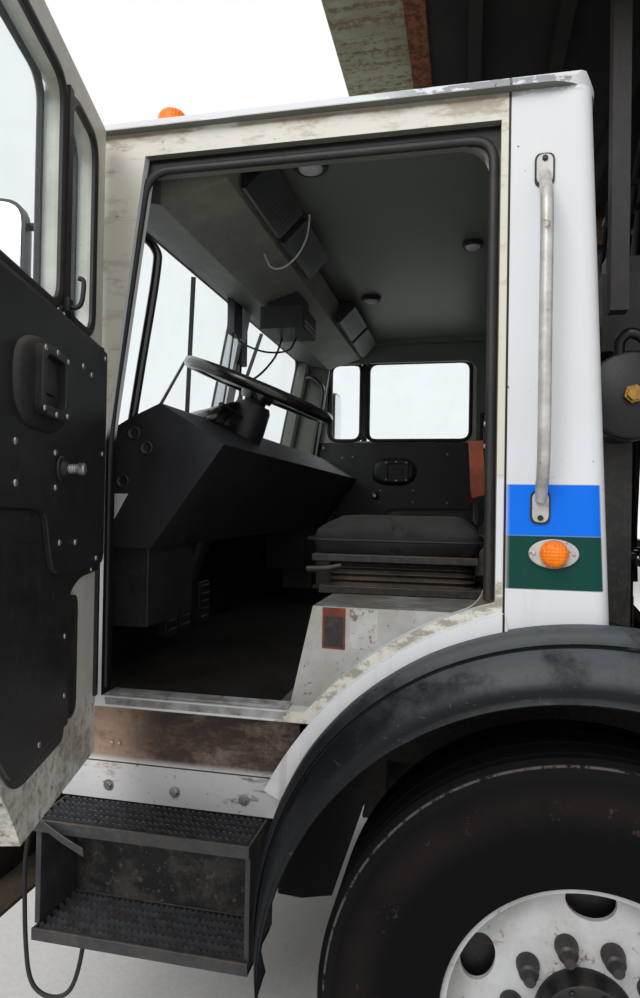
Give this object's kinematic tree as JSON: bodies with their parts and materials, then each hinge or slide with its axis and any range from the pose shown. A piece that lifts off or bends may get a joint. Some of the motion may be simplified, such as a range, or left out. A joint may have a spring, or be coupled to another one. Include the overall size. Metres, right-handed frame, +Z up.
{
  "type": "garbage truck",
  "caption": "Front-loading garbage truck with a forward cab, hopper and load body, tailgate, and lifting arms with forks stowed above the cab.",
  "frame": {"origin": "bottom centre of the whole truck's box, with the left door standing open and the arms stowed", "axes": "+X forward along the truck, +Y to its left, +Z up"},
  "size_m": [9.135, 3.5284, 4.0617],
  "materials": {
    "frame_paint": "satin, dusty",
    "tank_paint": "satin",
    "engine_iron": "rough",
    "exhaust_steel": "heat stained",
    "cab_paint": "white paint with blue and green bands, worn",
    "cab_floor_mat": "worn",
    "cab_glass": "clear",
    "cab_plastic": "grained",
    "seat_frame": "satin",
    "seat_cloth": "woven",
    "handle_black": "satin",
    "fender_rubber": "ribbed",
    "lamp_plastic": "clear amber",
    "body_paint": "green paint, scratched",
    "arm_paint": "green paint, scratched",
    "cylinder_paint": "satin",
    "rod_chrome": "polished",
    "tyre": "worn",
    "wheel_paint": "white paint with rust",
    "hose_rubber": "smooth"
  },
  "bodies": {
    "truck": {"frame_rails": "frame_paint", "front_bumper": "frame_paint", "axles": "frame_paint", "drive_line": "engine_iron", "tanks": "tank_paint", "exhaust": "exhaust_steel", "cab_sides": "cab_paint", "cab_floor": "cab_floor_mat", "cab_roof": "cab_paint", "cab_back": "cab_paint", "cab_front": "cab_paint", "cab_glass": "cab_glass", "seat_bases": "seat_frame", "seat_pads": "seat_cloth", "dash": "cab_plastic", "grab_rails": "handle_black", "fenders": "fender_rubber", "step_boxes": "frame_paint", "step_hose": "hose_rubber", "lamps": "lamp_plastic", "body_floor": "body_paint", "body_sides": "body_paint", "body_roof": "body_paint", "body_head": "body_paint"},
    "hand_wheel": {"steering_wheel": "cab_plastic"},
    "left_door": {"left_door": "cab_paint", "left_door_trim": "cab_plastic", "left_door_glass": "cab_glass"},
    "right_door": {"right_door": "cab_paint", "right_door_trim": "cab_plastic", "right_door_glass": "cab_glass"},
    "left_knuckle": {"left_knuckle": "frame_paint"},
    "right_knuckle": {"right_knuckle": "frame_paint"},
    "tie_rod": {"tie_rod": "frame_paint"},
    "front_left_wheel": {"front_left_tyre": "tyre", "front_left_wheel": "wheel_paint"},
    "front_right_wheel": {"front_right_tyre": "tyre", "front_right_wheel": "wheel_paint"},
    "fore_left_wheels": {"fore_left_tyres": "tyre", "fore_left_wheels": "wheel_paint"},
    "fore_right_wheels": {"fore_right_tyres": "tyre", "fore_right_wheels": "wheel_paint"},
    "aft_left_wheels": {"aft_left_tyres": "tyre", "aft_left_wheels": "wheel_paint"},
    "aft_right_wheels": {"aft_right_tyres": "tyre", "aft_right_wheels": "wheel_paint"},
    "arms": {"arms": "arm_paint"},
    "forks": {"forks": "arm_paint"},
    "lift_barrels": {"lift_barrels": "cylinder_paint"},
    "lift_rods": {"lift_rods": "rod_chrome"},
    "fork_barrels": {"fork_barrels": "cylinder_paint"},
    "fork_rods": {"fork_rods": "rod_chrome"},
    "tailgate": {"tailgate": "body_paint"},
    "tailgate_barrels": {"tailgate_barrels": "cylinder_paint"},
    "tailgate_rods": {"tailgate_rods": "rod_chrome"},
    "packer_blade": {"packer_blade": "body_paint"}
  },
  "joints": [
    {"name": "left_door_hinge", "type": "hinge", "parent": "truck", "child": "left_door", "pos_m": [4.1395, 0.86078, 1.703], "axis": [0, 0, 1], "range_deg": [-5.5, 74.5]},
    {"name": "right_door_hinge", "type": "hinge", "parent": "truck", "child": "right_door", "pos_m": [4.1395, -1.43922, 1.703], "axis": [0, 0, 1], "range_deg": [0, 80]},
    {"name": "left_steer", "type": "hinge", "parent": "truck", "child": "left_knuckle", "pos_m": [3.0325, 0.58078, 0.538], "axis": [0, 0, 1], "range_deg": [-40, 40]},
    {"name": "right_steer", "type": "hinge", "parent": "truck", "child": "right_knuckle", "pos_m": [3.0325, -1.15922, 0.538], "axis": [0, 0, 1], "range_deg": [-40.9, 40.9]},
    {"name": "tie_rod_slide", "type": "slide", "parent": "truck", "child": "tie_rod", "axis": [0, 1, 0], "range_m": [-0.1166, 0.1166]},
    {"name": "hand_wheel_turn", "type": "hinge", "parent": "truck", "child": "hand_wheel", "pos_m": [3.9375, 0.21078, 1.923], "axis": [-0.3714, 0, 0.9285], "range_deg": [-734.5, 734.5]},
    {"name": "front_left_roll", "type": "hinge", "parent": "left_knuckle", "child": "front_left_wheel", "pos_m": [3.0325, 0.77328, 0.538], "axis": [0, 1, 0], "continuous": true},
    {"name": "fore_left_roll", "type": "hinge", "parent": "truck", "child": "fore_left_wheels", "pos_m": [-1.2075, 0.60578, 0.538], "axis": [0, 1, 0], "continuous": true},
    {"name": "aft_left_roll", "type": "hinge", "parent": "truck", "child": "aft_left_wheels", "pos_m": [-2.5275, 0.60578, 0.538], "axis": [0, 1, 0], "continuous": true},
    {"name": "front_right_roll", "type": "hinge", "parent": "right_knuckle", "child": "front_right_wheel", "pos_m": [3.0325, -1.35172, 0.538], "axis": [0, 1, 0], "continuous": true},
    {"name": "fore_right_roll", "type": "hinge", "parent": "truck", "child": "fore_right_wheels", "pos_m": [-1.2075, -1.18422, 0.538], "axis": [0, 1, 0], "continuous": true},
    {"name": "aft_right_roll", "type": "hinge", "parent": "truck", "child": "aft_right_wheels", "pos_m": [-2.5275, -1.18422, 0.538], "axis": [0, 1, 0], "continuous": true},
    {"name": "arm_lift", "type": "hinge", "parent": "truck", "child": "arms", "pos_m": [2.0825, -0.28922, 1.143], "axis": [0, -1, 0], "range_deg": [-54, 44]},
    {"name": "fork_tilt", "type": "hinge", "parent": "arms", "child": "forks", "pos_m": [3.69297, -0.28922, 3.49572], "axis": [0, -1, 0], "range_deg": [-125, 0]},
    {"name": "lift_barrel_swing", "type": "hinge", "parent": "truck", "child": "lift_barrels", "pos_m": [0.7325, -0.28922, 0.903], "axis": [0, -1, 0], "range_deg": [-0.73, 0.87]},
    {"name": "lift_rod_slide", "type": "slide", "parent": "lift_barrels", "child": "lift_rods", "axis": [0.9999, 0, 0.0152], "range_m": [-0.1976, 0.1614]},
    {"name": "fork_barrel_swing", "type": "hinge", "parent": "arms", "child": "fork_barrels", "pos_m": [2.44955, -0.28922, 3.84288], "axis": [0, -1, 0], "range_deg": [-0.1, 4.1]},
    {"name": "fork_rod_slide", "type": "slide", "parent": "fork_barrels", "child": "fork_rods", "axis": [0.9808, 0, -0.1953], "range_m": [-0.002, 0.3776]},
    {"name": "tailgate_hinge", "type": "hinge", "parent": "truck", "child": "tailgate", "pos_m": [-3.8725, -0.28922, 3.923], "axis": [0, 1, 0], "range_deg": [0, 85]},
    {"name": "tailgate_barrel_swing", "type": "hinge", "parent": "truck", "child": "tailgate_barrels", "pos_m": [-3.0175, -0.28922, 3.323], "axis": [0, -1, 0], "range_deg": [-46.62, 0.1]},
    {"name": "tailgate_rod_slide", "type": "slide", "parent": "tailgate_barrels", "child": "tailgate_rods", "axis": [-0.9118, 0, -0.4107], "range_m": [-0.002, 1.0369]},
    {"name": "packer_slide", "type": "slide", "parent": "truck", "child": "packer_blade", "axis": [-1, 0, 0], "range_m": [0, 1.5]}
  ],
  "couplings": [
    {"joint": "right_steer", "follows": "left_steer", "ratio": 1},
    {"joint": "tie_rod_slide", "follows": "left_steer", "m_per_rad": -0.161},
    {"joint": "hand_wheel_turn", "follows": "left_steer", "ratio": 18},
    {"joint": "lift_barrel_swing", "follows": "arm_lift", "ratio": -0.014},
    {"joint": "lift_rod_slide", "follows": "arm_lift", "m_per_rad": 0.2035},
    {"joint": "fork_barrel_swing", "follows": "fork_tilt", "ratio": -0.0314},
    {"joint": "fork_rod_slide", "follows": "fork_tilt", "m_per_rad": -0.1688},
    {"joint": "tailgate_barrel_swing", "follows": "tailgate_hinge", "ratio": -0.5366},
    {"joint": "tailgate_rod_slide", "follows": "tailgate_hinge", "m_per_rad": 0.6839}
  ]
}
